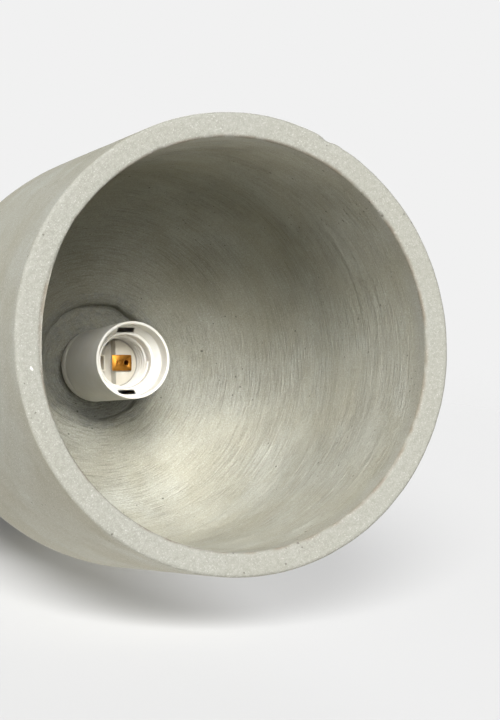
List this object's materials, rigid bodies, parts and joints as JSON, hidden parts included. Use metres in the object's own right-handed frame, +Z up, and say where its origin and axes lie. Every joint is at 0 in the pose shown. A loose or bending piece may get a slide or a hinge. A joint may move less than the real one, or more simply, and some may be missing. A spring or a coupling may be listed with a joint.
{
  "type": "pendant ceiling light",
  "caption": "Bell-shaped cast concrete pendant shade on a hollow nipple, with a plain-skirt screw lampholder in a pocket at its closed end.",
  "frame": {"origin": "where the cord enters the cord grip, at the top of the light, on the shade's axis", "axes": "+Z up along the shade's axis, from the mouth towards the cord; the mouth faces -Z"},
  "size_m": [0.212, 0.212, 0.2641],
  "materials": {
    "concrete": "cast, matt, with trowel marks and small pits",
    "white_plastic": "moulded, satin",
    "block_plastic": "moulded, matt",
    "brass": "stamped",
    "zinc_steel": "zinc plated",
    "nickel": "satin nickel",
    "rubber": "matt"
  },
  "bodies": {
    "shade": {"shade": "concrete", "crown_gasket": "rubber", "crown_washer": "zinc_steel", "crown_spring_washer": "zinc_steel", "crown_nut": "zinc_steel", "nipple": "zinc_steel", "cord_grip_body": "nickel", "pocket_gasket": "rubber", "pocket_washer": "zinc_steel", "pocket_nut": "zinc_steel", "holder_cap": "white_plastic", "cap_lock_screw": "zinc_steel", "contact_block": "block_plastic", "centre_contact_rivet": "brass", "side_contact_rivet": "brass", "live_terminal": "brass", "live_terminal_screw": "zinc_steel", "neutral_terminal": "brass", "neutral_terminal_screw": "zinc_steel", "block_screw_a": "zinc_steel", "block_screw_b": "zinc_steel"},
    "skirt": {"holder_skirt": "white_plastic"},
    "centre_spring": {"centre_contact": "brass"},
    "side_spring": {"side_contact": "brass"},
    "grip_screw": {"cord_grip_screw": "brass"}
  },
  "joints": [
    {"name": "skirt_turn", "type": "hinge", "parent": "shade", "child": "skirt", "pos_m": [0, 0, -0.0921], "axis": [0, 0, -1], "range_deg": [0, 540]},
    {"name": "centre_contact_flex", "type": "hinge", "parent": "shade", "child": "centre_spring", "pos_m": [0.00655, 0.00655, -0.0897], "axis": [-0.7071, 0.7071, 0], "range_deg": [0, 4], "stiffness_Nm_per_rad": 0.15},
    {"name": "side_contact_flex", "type": "hinge", "parent": "shade", "child": "side_spring", "pos_m": [-0.00403, -0.00403, -0.08165], "axis": [-0.7071, 0.7071, 0], "range_deg": [0, 1.5], "stiffness_Nm_per_rad": 0.15},
    {"name": "grip_screw_travel", "type": "slide", "parent": "shade", "child": "grip_screw", "axis": [-1, 0, 0], "range_m": [0, 0.0014]}
  ]
}
